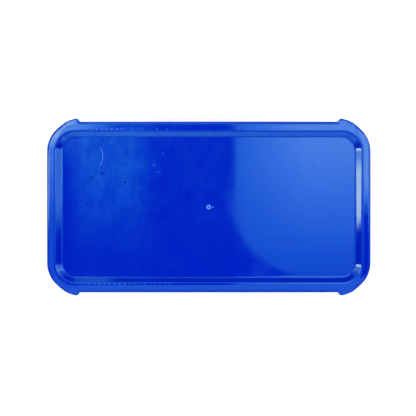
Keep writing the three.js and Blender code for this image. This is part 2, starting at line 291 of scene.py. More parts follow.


# %% [markdown]
# ### The lid's marks and its painted glow
# Over its left third the lid carries a painted reflection: a pale cyan is mixed into the colour in
# cloudy patches that run into each other downwards, standing in for the weak, mottled glow that this
# part mirrors. The same patches are rougher, as a thin bloom of dust and wax where hands wipe it is
# matt, and there are a few specks and one curved scratch. The pigment sits close under the polished
# skin and colours what the lid mirrors, which the shader's specular tint gives.

# %% Glossy lid plastic, its painted glow and its dust bloom
lid_plastic, tree, lid_shader, place, lid_tone, lid_rough = moulded_plastic(
    "glossy_polypropylene", "#001798", "#001393", 0.03, 0.09, 2.4, 0.002, "#7CE4FF")
x, y, _ = add(tree, "SeparateXYZ", (place,)).outputs
clouds = {"Vector": place, "Scale": every(16), "Detail": 8.0, "Roughness": 0.7}
clouds = add(tree, "MapRange", (add(tree, "TexNoise", clouds, "Fac"), 0.38, 0.68), "Result")
drawn = add(tree, "Mapping", {"Vector": place, "Scale": (1, 0.22, 1)}, "Vector")
long_patches = {"Vector": drawn, "Scale": every(7), "Detail": 6.0, "Roughness": 0.7}
long_patches = add(tree, "MapRange", (add(tree, "TexNoise", long_patches, "Fac"), 0.35, 0.7), "Result")
glow_and_dust = add(tree, "Math", (clouds, long_patches), "Value", operation="ADD")
# painted glow and dust bloom lie over the left third, more of it high up, and none at the very end: (along,
# from, to, least, most)
GLOW_AND_DUST_SPANS = ((x, -0.052, -0.075, 0.3, 1.0), (y, -0.045, 0.045, 0.2, 1.0), (x, -0.148, -0.13, 0.0, 1.0))
for along, *span in GLOW_AND_DUST_SPANS:
    part = add(tree, "MapRange", (along, *span), "Result")
    glow_and_dust = add(tree, "Math", (glow_and_dust, part), "Value", operation="MULTIPLY")
GLOW_AND_DUST_MOST = 0.06
glow_and_dust = add(tree, "Math", (glow_and_dust, GLOW_AND_DUST_MOST), "Value", operation="MULTIPLY")
# painted reflection: the pale cyan mixed in here stands in for the left third's weak glow; the roughness
# added below is the dust bloom's
glow_painted = {MIX_SHARE: glow_and_dust, MIX_A: lid_tone, MIX_B: linear("#2C98D4")}
lid_tone = add(tree, "Mix", glow_painted, MIX_COLOUR, **COLOURS)
lid_rough = add(tree, "Math", (glow_and_dust, 0.5, lid_rough), "Value", operation="MULTIPLY_ADD")

# %% Specks, painted gate highlights and scratch
level = add(tree, "VectorMath", (place, (1, 1, 0)), "Vector", operation="MULTIPLY")


def ring_share(centre, radius, width, reach=0.0):
    """Share of a mark on a ring in mm: 1 within reach of its line, fading to 0 at reach plus width."""
    middle = (centre[0] * MM, centre[1] * MM, 0)
    away = add(tree, "VectorMath", (level, middle), "Value", operation="DISTANCE")
    off = add(tree, "Math", (away, radius * MM), "Value", operation="SUBTRACT")
    off = add(tree, "Math", (off,), "Value", operation="ABSOLUTE")
    return add(tree, "MapRange", (off, (reach + width) * MM, reach * MM), "Result")


def mark(share, strength, colour, tone):
    """Mixes a colour into the tone where share is, as far as strength says."""
    share = add(tree, "Math", (share, strength), "Value", operation="MULTIPLY")
    return add(tree, "Mix", {MIX_SHARE: share, MIX_A: tone, MIX_B: linear(colour)}, MIX_COLOUR, **COLOURS)


DARK_SPOTS = (((-111, 34.7), 2.2), ((-121.8, 30.6), 2.0), ((-87.4, 26), 1.8))
PALE_SPECKS = ((-47.4, 55.6), (-52.6, 36.5), (-57, 44))
for centre, radius in DARK_SPOTS:
    lid_tone = mark(ring_share(centre, 0, radius / 2, radius / 2), 1.0, "#000A78", lid_tone)
for centre in PALE_SPECKS:
    lid_tone = mark(ring_share(centre, 0, 0.3, 0.3), 1.0, "#3C78D8", lid_tone)
# painted highlights: a pale ring round the gate mark, and a pale spot just right of it, stand in for the
# light that the gate's small rounded ring catches
lid_tone = mark(ring_share((0, 0), 1.7, 0.5, 0.4), 0.85, "#4E86E8", lid_tone)
lid_tone = mark(ring_share((4.2, -0.4), 0, 0.5, 0.6), 1.0, "#2C60D0", lid_tone)
# the scratch is a thin piece of a ring 18 mm in radius: only right of X -116 and between two Ys
scratch = ring_share((-128.4, 52.5), 18.2, 0.55)
for along, start, inside in ((y, 0.0625, 0.0595), (y, 0.0415, 0.0445), (x, -0.116, -0.113)):
    part = add(tree, "MapRange", (along, start, inside), "Result")
    scratch = add(tree, "Math", (scratch, part), "Value", operation="MULTIPLY")
finish(tree, lid_shader, mark(scratch, 0.22, "#7CB4F0", lid_tone), lid_rough)
print(lid_plastic.name, len(tree.nodes), "nodes")

# %% [markdown]
# ### Satin pan plastic
# The pan's outside carries the mould's satin grain, about 0.7 mm here so that it shows, and gets scuffed
# where it is set down and dragged: its lowest centimetre is paler and rougher, in broken patches.

# %% Satin pan plastic
pan_plastic, tree, pan_shader, place, pan_tone, pan_rough = moulded_plastic(
    "satin_polypropylene", "#0018A2", "#001292", 0.3, 0.14, 0.7, 0.02, "#A8E8FF")
height = add(tree, "SeparateXYZ", (place,), "Z")
low_down = add(tree, "MapRange", (height, 0.012, 0.002), "Result")
broken = {"Vector": place, "Scale": every(9), "Detail": 8.0, "Roughness": 0.75}
broken = add(tree, "MapRange", (add(tree, "TexNoise", broken, "Fac"), 0.5, 0.62), "Result")
drawn = add(tree, "Mapping", {"Vector": place, "Scale": (0.08, 1, 1)}, "Vector")
dragged = add(tree, "TexNoise", {"Vector": drawn, "Scale": every(2.2), "Detail": 4.0}, "Fac")
dragged = add(tree, "MapRange", (dragged, 0.66, 0.74, 0.0, 0.35), "Result")
scuffs = add(tree, "Math", (low_down, broken, dragged), "Value", operation="MULTIPLY_ADD")
pan_tone = mark(scuffs, 0.22, "#5C86D6", pan_tone)
pan_rough = add(tree, "Math", (scuffs, 0.2, pan_rough), "Value", operation="MULTIPLY_ADD")
finish(tree, pan_shader, pan_tone, pan_rough)

# %% [markdown]
# ### Brushed stainless steel
# The blades are cut from cold-rolled stainless strip, brushed along its length. A metal keeps the
# shader's default index. The brushing is noise drawn out sixty times along X, in the bump and in the
# roughness, with a few deeper scratches across it from scraping knives. Rivets are tumbled instead, so
# their marks run no way in particular.

# %% Brushed steel and rivet metal
def metal(name, colour, dull, roughness, spread, size, stretch, depth, marks):
    """Bare metal with lines or tumbling marks: noise of a size in mm in a stretched place."""
    material, tree, shader = new_material(name)
    place = add(tree, "TexCoord", out="Object")
    drawn = add(tree, "Mapping", {"Vector": place, "Scale": stretch}, "Vector")
    lines = {"Vector": drawn, "Scale": every(size), "Detail": 3.0, "Roughness": 0.6}
    lines = add(tree, "TexNoise", lines, "Fac")
    rough = add(tree, "MapRange", (lines, 0.3, 0.7, roughness, roughness + spread), "Result")
    across = {"Vector": place, "Rotation": (0, 0, 0.4), "Scale": (1, 1, 0.05)}
    across = add(tree, "Mapping", across, "Vector")
    across = add(tree, "TexNoise", {"Vector": across, "Scale": every(1.6)}, "Fac")
    across = add(tree, "MapRange", (across, 0.68, 0.72, 0.0, marks), "Result")
    stain = {"Vector": place, "Scale": every(14), "Detail": 5.0, "Roughness": 0.6}
    stain = add(tree, "MapRange", (add(tree, "TexNoise", stain, "Fac"), 0.4, 0.65), "Result")
    tones = {MIX_SHARE: stain, MIX_A: linear(colour), MIX_B: linear(dull)}
    tone = add(tree, "Mix", tones, MIX_COLOUR, **COLOURS)
    scored = {MIX_SHARE: across, MIX_A: tone, MIX_B: linear("#F0F1F2")}
    tone = add(tree, "Mix", scored, MIX_COLOUR, **COLOURS)
    relief = add(tree, "Math", (lines, across), "Value", operation="SUBTRACT")
    bump = {"Height": relief, "Distance": depth * MM, "Strength": 1.0}
    tree.links.new(add(tree, "Bump", bump, "Normal"), shader.inputs["Normal"])
    shader.inputs["Metallic"].default_value = 1.0
    finish(tree, shader, tone, add(tree, "Math", (rough, across), "Value", operation="ADD"))
    return material


brushed_steel = metal("brushed_stainless", "#C9CACB", "#B4B5B7", 0.24, 0.16, 0.5, (1 / 60, 1, 1), 0.006, 0.3)
rivet_metal = metal("tumbled_steel", "#BDBEC0", "#9FA1A5", 0.2, 0.14, 0.8, (1, 1, 1), 0.02, 0.15)

# %% [markdown]
# ### Rubber
# Grips and feet are thermoplastic rubber from a blasted mould: nearly black, matt, and a magnet for
# pale compound dust, which gathers in speckles and in whatever lies low.

# %% Rubber
def rubber(name, colour, worn, roughness, dust):
    """Matt rubber with a fine grain and dust. dust is the most of its pale colour."""
    material, tree, shader = new_material(name)
    place = add(tree, "TexCoord", out="Object")
    cloud = {"Vector": place, "Scale": every(22), "Detail": 6.0, "Roughness": 0.65}
    cloud = add(tree, "TexNoise", cloud, "Fac")
    faded = add(tree, "MapRange", (cloud, 0.35, 0.7), "Result")
    tones = {MIX_SHARE: faded, MIX_A: linear(colour), MIX_B: linear(worn)}
    tone = add(tree, "Mix", tones, MIX_COLOUR, **COLOURS)
    speckle = {"Vector": place, "Scale": every(1.5), "Detail": 5.0, "Roughness": 0.7}
    speckle = add(tree, "MapRange", (add(tree, "TexNoise", speckle, "Fac"), 0.58, 0.7), "Result")
    gathered = add(tree, "MapRange", (cloud, 0.42, 0.62, dust * 0.3, dust), "Result")
    dusty = add(tree, "Math", (speckle, gathered), "Value", operation="MULTIPLY")
    tone = add(tree, "Mix", {MIX_SHARE: dusty, MIX_A: tone, MIX_B: linear("#A9A79F")}, MIX_COLOUR, **COLOURS)
    # blasted grain of 0.6 mm, coarser than the real 0.2 mm so that it shows
    grain = add(tree, "TexNoise", {"Vector": place, "Scale": every(0.6)}, "Fac")
    bump = {"Height": grain, "Distance": 0.03 * MM, "Strength": 1.0}
    tree.links.new(add(tree, "Bump", bump, "Normal"), shader.inputs["Normal"])
    shader.inputs["IOR"].default_value = 1.5
    rough = add(tree, "MapRange", (cloud, 0.3, 0.7, roughness, roughness + 0.15), "Result")
    finish(tree, shader, tone, rough)
    return material


grip_rubber = rubber("grip_thermoplastic_rubber", "#1B1D20", "#2A2C2F", 0.55, 0.22)
foot_rubber = rubber("foot_thermoplastic_rubber", "#151617", "#242526", 0.62, 0.4)

# %% [markdown]
# ## Lid
# The lid is one skin. It starts under the middle of the panel, runs out along the underside, goes down
# inside the skirt and up its outside, rounds the edge, crosses the rim, drops down the slope and comes
# back to the middle, where a small ring and stub show where the plastic entered the mould. A section is
# drawn as a few straight lines, and every corner gets its own round, as on the mould's drawing.

# %% Lid sizes
LID_WALL = 1.8
SKIRT_DRAFT = 0.2
SKIRT_ROUND = 0.6
LID_CORNER = 30.6
LID_EDGE_ROUND = 3.6
RIM_SLOPE = 0.35
CREST_INSET = (9.2, 10.2)
PANEL_INSET = 15.3
CREST_ROUND = 3.4
RECESS_DEPTH = 5.0
RECESS_FILLET = 3.2
INSIDE_FILLET = 1.5
EAR_THICKNESS = 2.6
EAR_DROP = 0.5
EAR_ROUND = 1.2
EAR_NOSE = 4.0
EAR_NOSE_FROM_END = 30.2
EAR_SHIFT = (-7.5, -5.5)
EAR_START = 47.0
MOUTH = (160.0, 80.75)
LID_OFFSET = 7.8

lid_half = np.array(MOUTH) + LID_OFFSET
skirt_depth = crest_z - lid_low[2]
corner = lid_half - LID_CORNER
print("lid half length and width", lid_half, "skirt", skirt_depth.round(2))


# %% Rounded section lines
def rounded(points, radii, steps=4):
    """A line through points with each inner corner replaced by an arc of its radius.

    The arc touches both lines at radius x tan(half the turn) from the corner; its points are found from
    the centre, which lies off the first line by the radius, on the side that the line turns to.
    """
    points = np.array(points, float)
    rows = [points[0]]
    for before, here, after, radius in zip(points, points[1:], points[2:], radii):
        way_in = (here - before) / np.hypot(*(here - before))
        way_out = (after - here) / np.hypot(*(after - here))
        turn = np.arctan2(way_in[0] * way_out[1] - way_in[1] * way_out[0], way_in @ way_out)
        side = np.sign(turn) * np.array([-way_in[1], way_in[0]])
        start = here - way_in * radius * np.tan(abs(turn) / 2)
        angle = np.linspace(0, abs(turn), steps + 1)[:, None]
        rows.extend(start + side * radius * (1 - np.cos(angle)) + way_in * radius * np.sin(angle))
    rows.append(points[-1])
    return np.array(rows)


# %% [markdown]
# Four ears beside the rim, just below its level, are what the fingers pull. Each one leaves the skirt
# part of the way round the corner, swells along an arc and ends in a small round nose past the long
# side. They are not separate shapes pushed into the skirt: the skirt's own rows move outwards there, so
# lid and ears stay one clean surface.

# %% Lid outline and ears
corner_turns = np.concatenate([np.linspace(0, 36, 13), np.linspace(37.5, 80, 30), np.linspace(80.5, 90, 20)])
# closer points where an ear's nose runs back into the long side, 3.4 mm past the corner
beside_nose = np.append(np.linspace(0.3, 3.3, 11), [3.38, 3.5, 4.6]) / (2 * corner[0])
long_parts = np.concatenate([beside_nose, np.linspace(0.03, 0.97, 48), 1 - beside_nose[::-1]])
lid_points = perimeter(corner_turns, long_parts, np.linspace(0.04, 0.96, 24))


def ear_reach(points):
    """How far an ear stands out of the skirt at each outline point, along the outline's normal.

    A ray leaves the corner's centre, or the long side squarely, and meets the ear's arc and its nose
    circle at distances from the usual quadratic. The arc counts only from its start to the nose.
    """
    part = points[:, 5]
    turn = points[:, 4] % 180
    turn = np.minimum(turn, 180 - turn) * DEGREES
    no_ear = turn < EAR_START * DEGREES
    along = np.minimum(part, 1 - part) * 2 * corner[0]
    way = np.stack([np.cos(turn), np.sin(turn)], 1)
    origin = corner - np.stack([along, np.zeros_like(along)], 1)
    centre = corner + EAR_SHIFT
    start = EAR_START * DEGREES
    skirt = LID_CORNER + SKIRT_DRAFT
    radius = np.hypot(*(corner + skirt * np.array([np.cos(start), np.sin(start)]) - centre))
    nose_x = lid_half[0] - EAR_NOSE_FROM_END
    rise = np.sqrt((radius - EAR_NOSE) ** 2 - (nose_x - centre[0]) ** 2)
    nose = np.array([nose_x, centre[1] + rise])

    def meets(middle, size):
        to = middle - origin
        ahead = (to * way).sum(1)
        inside = ahead**2 - (to**2).sum(1) + size**2
        return np.where(inside > 0, ahead + np.sqrt(np.maximum(inside, 0)), 0)

    on_arc = meets(centre, radius)
    hit = origin + way * on_arc[:, None] - centre
    before_nose = np.arctan2(hit[:, 1], hit[:, 0]) < np.arctan2(*(nose - centre)[::-1])
    reach = np.maximum(np.where(before_nose, on_arc, 0), meets(nose, EAR_NOSE))
    return np.where(no_ear, 0, np.maximum(reach - skirt, 0))


ears = ear_reach(lid_points)
print("ears reach", ears.max().round(2), "mm past the skirt, at", (ears > 0).sum(), "points")

# %% Lid section
mean_crest = sum(CREST_INSET) / 2
slope = np.arctan2(RECESS_DEPTH, PANEL_INSET - mean_crest)
under = LID_WALL * np.tan(slope / 2)
inside_line = rounded(
    [(PANEL_INSET + 6, -RECESS_DEPTH - LID_WALL), (PANEL_INSET - under, -RECESS_DEPTH - LID_WALL),
     (mean_crest - under, -LID_WALL), (LID_WALL, -LID_WALL),
     (LID_WALL - SKIRT_DRAFT, -skirt_depth), (1.0 - SKIRT_DRAFT, -skirt_depth)],
    [0.5, 0.5, INSIDE_FILLET, 0.4])
ROUND_STEPS = 12
outside_line = rounded(
    [(-SKIRT_DRAFT, SKIRT_ROUND - skirt_depth), (0, -RIM_SLOPE), (mean_crest, 0),
     (PANEL_INSET, -RECESS_DEPTH), (PANEL_INSET + 3, -RECESS_DEPTH)],
    [LID_EDGE_ROUND, CREST_ROUND, RECESS_FILLET], ROUND_STEPS)
skirt_line, rim_line = np.split(outside_line, [ROUND_STEPS + 2])
bottom_round = arc((SKIRT_ROUND - SKIRT_DRAFT, SKIRT_ROUND - skirt_depth), SKIRT_ROUND, 270, 180, 4)

# %% Ear section
# an ear's rows go from the root below it round its edge to its top: height, how much the edge's round
# takes off the reach, and the most reach allowed, which is small only in the fillet at the root
FREE = 99.0
quarter = np.linspace(0, 90, 6) * DEGREES
short, full = EAR_ROUND * (1 - np.cos(quarter)), EAR_ROUND * (1 - np.sin(quarter))
ear_low = -EAR_DROP - EAR_THICKNESS
none = np.zeros(6)
ear_rows = np.vstack([
    np.stack([ear_low - 0.02 - full, none, short], 1),
    np.stack([ear_low + short, full, none + FREE], 1),
    np.stack([-EAR_DROP - full, short, none + FREE], 1)])
below = skirt_line[skirt_line[:, 1] < ear_rows[0, 0]]
above = skirt_line[skirt_line[:, 1] > ear_rows[-1, 0] + 0.02]
across = np.interp(ear_rows[:, 0], skirt_line[:, 1], skirt_line[:, 0])
lid_rows = np.vstack([np.pad(line, ((0, 0), (0, 2))) for line in (inside_line, bottom_round, below)]
                     + [np.column_stack([across, ear_rows])]
                     + [np.pad(line, ((0, 0), (0, 2))) for line in (above, rim_line)])

# %% Lid rows
knots = (-5, 3, mean_crest, PANEL_INSET, 60)
ends = np.interp(lid_rows[:, 0], knots, (-5, 3, CREST_INSET[0], PANEL_INSET, 60))
sides = np.interp(lid_rows[:, 0], knots, (-5, 3, CREST_INSET[1], PANEL_INSET, 60))
# the round of the rim's edge gives way where an ear is: its lower rows step out to the skirt, and its
# upper rows rise to the rim's own slope, so that the ear's top carries the rim on
has_ear = ramp(ears, 0, 1.0)[None, :]
reach = np.maximum(ears[None, :] - lid_rows[:, 2:3], 0) + (lid_rows[:, :1] + SKIRT_DRAFT) * has_ear
out = np.clip(reach, 0, lid_rows[:, 3:4])
first_above = len(lid_rows) - len(above) - len(rim_line)
rise = -RIM_SLOPE * (1 - above[:, :1] / mean_crest) - above[:, 1:]
heights = lid_rows[:, 1:2] + np.zeros_like(out)
heights[first_above:first_above + len(above)] += rise * has_ear
lid_grid = levels(lid_points, lid_half[0] - ends, lid_half[1] - sides,
                  LID_CORNER - (ends + sides) / 2, crest_z + heights, out)
print("lid rows", len(lid_rows))

# %% [markdown]
# The panel goes on from the last row of the slope. Its rows shrink from the rounded rectangle to the
# circle of the gate mark, where a lathed ring and stub close it. A moulded panel this size is never
# quite flat: it settles into a few shallow waves, a fifth of a millimetre deep, which is what bends the
# reflections of straight lamps. The waves die out towards the panel's edge, where the slope stiffens it.

# %% Panel with waves and gate mark
GATE_RADIUS = 2.65
PANEL_ROWS = 40
gate_line = rounded([(GATE_RADIUS + 0.8, 0), (GATE_RADIUS, 0), (GATE_RADIUS - 0.5, -0.5), (1.9, -0.5),
                     (1.5, 0.0), (0.8, 0.25), (0.05, 0.28)], [0.3, 0.3, 0.2, 0.4, 0.8], steps=4)
panel_z = crest_z - RECESS_DEPTH
last = (ends[-1] + sides[-1]) / 2
share = (np.linspace(0, 1, PANEL_ROWS + 1)[1:-1]) ** 0.8
first_size = np.array([*(lid_half - last), LID_CORNER - last])
gate_start = np.full(3, gate_line[0, 0])
sizes = first_size + (gate_start - first_size) * share[:, None]
sizes = np.vstack([sizes, np.repeat(gate_line[:, :1], 3, 1)])
heights = np.concatenate([np.full(len(share), 0.0), gate_line[:, 1]]) + panel_z
panel_grid = levels(lid_points, *sizes.T, heights)


def waves(x, y):
    """Height in mm of the panel's waves: a few long sines, times a window that is nil at the edge."""
    window = np.clip(1 - (x / 152) ** 2, 0, 1) * np.clip(1 - (y / 73) ** 2, 0, 1)
    swell = -0.05 * np.sin(x / 31 + 0.4) * np.cos(y / 29 - 0.3)
    swell += 0.025 * np.sin(x / 17 - y / 21 + 1.9) + 0.02 * np.cos(x / 12 + y / 14)
    return window * swell


panel_grid[..., 2] += waves(panel_grid[..., 0], panel_grid[..., 1])
lid_shell = skin("lid_shell", np.concatenate([lid_grid, panel_grid]), lid_plastic)
stand_for(lid_shell, "lid_body", "lid_plastic", "lid")

# %% [markdown]
# ### Pips
# A short row of low pips stands beside the crest, at the left end of both long sides. Stacked pans rub
# on them, so their tips are worn duller, and past the first eight they are worn down. Each is the
# cap of a sphere that is wider than it is high.

# %% Pips beside the crest
worn_plastic, tree, worn_shader, _, worn_tone, worn_rough = moulded_plastic(
    "worn_polypropylene", "#103CAE", "#0A32A4", 0.2, 0.2, 1.2, 0.01, "#A8E8FF")
finish(tree, worn_shader, worn_tone, worn_rough)
PIP_RADIUS, PIP_HEIGHT, PIP_SUNK = 1.3, 0.16, 0.12
PIP_PITCH, PIP_COUNT = 5.2, 17


def turned(profile, columns=40):
    """Surface of revolution about w: rows of (radius, w) swept round into (u, v, w) points."""
    radius, along = np.array(profile, float).T
    turn = np.arange(columns) * 2 * np.pi / columns
    rows = [radius[:, None] * np.cos(turn), radius[:, None] * np.sin(turn), along[:, None] + 0 * turn]
    return np.stack(rows, -1)


def pip_row(name, side, first_x, from_crest):
    """Row of spherical caps, whose height falls with the square of the way out to their rim.

    Past the eighth a cap keeps 0.35 of its height, give or take a sine of its number.
    """
    share = np.linspace(1, 0.05, 7)
    cap = turned(np.stack([PIP_RADIUS * share, PIP_HEIGHT * (1 - share**2)], 1), 16)
    number = np.arange(PIP_COUNT)
    kept = np.where(number < 8, 1.0, 0.35 + 0.3 * np.sin(2.4 * number))
    y = side * (lid_half[1] - CREST_INSET[1] + from_crest)
    base_z = crest_z - PIP_SUNK
    places = [(first_x + PIP_PITCH * k, y, base_z) for k in number]
    made = skins(name, [cap * (1, 1, h) + place for h, place in zip(kept, places)], worn_plastic)
    stand_for(made, "lid_body", "lid_plastic")


pip_row("rear_pips", 1, -126.0, 1.8)
pip_row("front_pips", -1, -123.2, 0.8)

# %% [markdown]
# ## Pan
# The pan is one moulded skin as well. Its ends lean out all the way up. Its long sides lean to a level
# called the land and are upright above it, where the steel edges lie. The kink at the land and the
# fillet at the floor are rounded by formulas, because light shows every kink in a glossy wall.

# %% Pan sizes
PAN_FLOOR = (146.0, 48.0)
MOUTH_CORNER, FLOOR_CORNER, FLOOR_FILLET = 22.8, 17.0, 6.0
BASE_Z, FLOOR_Z, STEP_Z, LAND_Z, RIM_Z = 3.0, 5.8, 63.8, 66.8, 83.8
LAND_WALL, BASE_ROUND = 3.4, 2.4
BEAD_WIDTH, BEAD_HEIGHT, BEAD_ROUND = 5.4, 3.2, 1.0
end_lean = np.arctan2(MOUTH[0] - PAN_FLOOR[0], RIM_Z - FLOOR_Z)
side_lean = np.arctan2(MOUTH[1] - PAN_FLOOR[1], LAND_Z - FLOOR_Z)
PAN_WALL = 2.4
wall_out = PAN_WALL / np.cos(side_lean)
print("leans", np.degrees([end_lean, side_lean]).round(1), "degrees")


# %% Cavity and its section
def fillet_reach(up, lean, fillet):
    """How far a leaning wall stands outside the floor's edge at a height up.

    On the fillet it is a chord of its circle less the tangent length; above, height x tan(lean).
    """
    turn = np.pi / 2 - lean
    chord = np.sqrt(np.maximum(fillet**2 - (fillet - np.minimum(up, fillet)) ** 2, 0))
    on_fillet = (up < fillet * (1 - np.cos(turn))) & (fillet > 0)
    return np.where(on_fillet, chord - fillet * np.tan(turn / 2), up * np.tan(lean))


def cavity(z, fillet=0.0):
    """Half length, half width and corner radius of the cavity at each z.

    The sides stop leaning at the land. The smaller of the two laws, a and b, is taken softly, as
    (a + b - root of ((a - b) squared + a small number)) / 2, which rounds the kink.
    """
    up = np.asarray(z, float) - FLOOR_Z
    side = fillet_reach(up, side_lean, fillet)
    most = MOUTH[1] - PAN_FLOOR[1]
    side = (side + most - np.sqrt((side - most) ** 2 + 0.15)) / 2
    corner_gain = np.where(side > 0, side * (MOUTH_CORNER - FLOOR_CORNER) / most, side)
    half_x = PAN_FLOOR[0] + fillet_reach(up, end_lean, fillet)
    return half_x, PAN_FLOOR[1] + side, FLOOR_CORNER + corner_gain


# %% Pan outline with upright columns behind the steel
EDGE_HALF, POCKET_DEPTH, POCKET_BOTTOM, STEP_DOWN = 126.3, 1.3, 70.5, 1.2
STRAIGHT = MOUTH[0] - MOUTH_CORNER
pocket_ends = np.array([EDGE_HALF - 0.04, EDGE_HALF + 0.04])
places = np.concatenate([np.linspace(-122, 122, 62), pocket_ends, -pocket_ends, [129, 133, -129, -133]])
long_parts = np.sort(0.5 - places / (2 * STRAIGHT))
pan_points = perimeter(np.linspace(0, 90, 25), long_parts, np.linspace(0.04, 0.96, 24))
on_long = (pan_points[:, 5] > 0) & (pan_points[:, 4] % 180 > 1)
steady_x = np.where(pan_points[:, 4] < 180, 1, -1) * (1 - 2 * pan_points[:, 5]) * STRAIGHT


def pan_rows(out, z, cavity_z, fillet=0.0):
    """Rows of the pan: the cavity at cavity_z grown by out, at height z.

    On the long sides a column keeps its x as far as the steel reaches, and only leans past that.
    """
    half_x, half_y, radius = cavity(cavity_z, fillet)
    grid = levels(pan_points, half_x + out, half_y + out, radius + out, z)
    reach = half_x - radius
    past = ramp(np.abs(steady_x), 127, STRAIGHT)[None, :]
    leaning = np.sign(steady_x) * (np.abs(steady_x) + past * (reach[:, None] - STRAIGHT))
    grid[..., 0] = np.where(on_long, leaning, grid[..., 0])
    return grid


# %% Pan shell
base = arc((BASE_ROUND, BASE_Z + BASE_ROUND), BASE_ROUND, 270, 180, 8)
wall_z = np.concatenate([np.linspace(BASE_Z + BASE_ROUND + 0.6, 61, 16),
                         [62.4, STEP_Z, 64.8, 65.8, LAND_Z, 68]])
wall_line = np.stack([wall_out + (LAND_WALL - wall_out) * ramp(wall_z, STEP_Z, LAND_Z), wall_z], 1)
bead_line = rounded([(LAND_WALL, 70), (LAND_WALL, RIM_Z - BEAD_HEIGHT), (BEAD_WIDTH, RIM_Z - BEAD_HEIGHT),
                     (BEAD_WIDTH, RIM_Z), (0, RIM_Z), (0, 80)], [0.5, BEAD_ROUND, BEAD_ROUND, BEAD_ROUND], 6)
out = np.concatenate([wall_out - base[:, 0], wall_line[:, 0], bead_line[:, 0]])
z = np.concatenate([base[:, 1], wall_line[:, 1], bead_line[:, 1]])
cavity_z = np.where(z > LAND_Z, np.interp(z, (LAND_Z, RIM_Z - BEAD_HEIGHT), (LAND_Z, RIM_Z)), z)
outside = pan_rows(out, z, cavity_z)
down = np.concatenate([[78, 75, 72, POCKET_BOTTOM + 0.04, POCKET_BOTTOM - 0.04, 69.6, 68.6],
                       np.linspace(67.8, 64.5, 8), np.linspace(62, 13, 16)])
down = np.concatenate([down, FLOOR_Z + FLOOR_FILLET * (1 - np.cos(np.linspace(80, 0, 14) * DEGREES))])
inside = pan_rows(np.zeros(len(down)), down, down, FLOOR_FILLET)
pan_grid = np.concatenate([outside, inside])

# behind the steel the wall's face lies deeper and the rim is a little lower
behind = (np.abs(pan_grid[..., 0]) < EDGE_HALF) & on_long[None, :]
inner = np.arange(len(pan_grid))[:, None] >= len(outside) - 8
pocket = behind & inner & (pan_grid[..., 2] > POCKET_BOTTOM)
deeper = np.maximum(np.abs(pan_grid[..., 1]), MOUTH[1] + POCKET_DEPTH)
pan_grid[..., 1] = np.where(pocket, np.sign(pan_grid[..., 1]) * deeper, pan_grid[..., 1])
pan_grid[..., 2] = np.where(behind, np.minimum(pan_grid[..., 2], RIM_Z - STEP_DOWN), pan_grid[..., 2])
floor_shrink = np.linspace(1, 0.04, 12)[1:, None, None]
floor_rows = pan_grid[-1:] * np.array([1, 1, 0]) * floor_shrink + np.array([0, 0, FLOOR_Z])
base_rows = pan_grid[:1] * np.array([1, 1, 0]) * floor_shrink[::-1] + np.array([0, 0, BASE_Z])
pan_shell = skin("pan_shell", np.concatenate([base_rows, pan_grid, floor_rows]), pan_plastic)
stand_for(pan_shell, "pan_body", "pan_plastic", "pan")

# %% [markdown]
# ## What is fastened to the long walls
# Steel, rivets and grips are all drawn lying flat, in (u, v, w): u along the wall, v up it and w out of
# it. Two small functions then stand them on the upright land or on the leaning wall, on either side.

# %% Places on the walls
def on_land(points, side, u=0.0, v=0.0):
    """Points of (u, v, w) on the inner face of the land, with w outwards. side is 1 rear, -1 front."""
    lying = points + np.array([u, v, 0])
    x, y, z = -lying[..., 0], MOUTH[1] + lying[..., 2], lying[..., 1]
    return np.stack([side * x, side * y, z], -1)


def on_wall(points, side, middle_z):
    """Points of (u, v, w) on the leaning wall's outside: v runs up the slope and w squarely out."""
    up = np.array([0, np.sin(side_lean), np.cos(side_lean)])
    out_way = np.array([0, np.cos(side_lean), -np.sin(side_lean)])
    centre = np.array([0, cavity(middle_z)[1] + wall_out, middle_z])
    made = centre + points[..., 1:2] * up + points[..., 2:3] * out_way - points[..., :1] * np.array([1, 0, 0])
    return made * np.array([side, side, 1])


SIDES = {"rear": 1, "front": -1}

# %% [markdown]
# ### Scraping edges
# A blade is drawn clean against the steel, so its top corner is honed nearly sharp while the other
# corners are rounded by tumbling. It is a rounded rectangle, lofted from its back to its front through
# the small rounds of its edges.

# %% Scraping edges
EDGE_SIZE = (126.0, 6.5)
EDGE_CORNER, EDGE_THICK, EDGE_BREAK = 3.0, 1.0, 0.22
edge_points = perimeter(np.linspace(0, 90, 13), np.linspace(0.01, 0.99, 80), np.linspace(0.1, 0.9, 5))
edge_line = rounded([(6.0, 0), (0, 0), (0, EDGE_THICK), (6.0, EDGE_THICK)], [EDGE_BREAK, EDGE_BREAK], 4)
inset, w = edge_line.T
for where, side in SIDES.items():
    low, high = node_box(where + "_scraping_edge")
    grid = levels(edge_points, EDGE_SIZE[0] - inset, EDGE_SIZE[1] - inset,
                  np.maximum(EDGE_CORNER - inset, 0.3), w)
    made = skin(where + "_scraping_blade", on_land(grid, side, v=(low[2] + high[2]) / 2), brushed_steel)
    stand_for(made, "pan_body", "steel_edge", where + "_scraping_edge")

# %% [markdown]
# ### Rivets
# Each blade is held by five rivets. A turned profile gives the domed head on the steel, the shank and
# the rolled tail outside, with the dimple that the setting tool leaves.

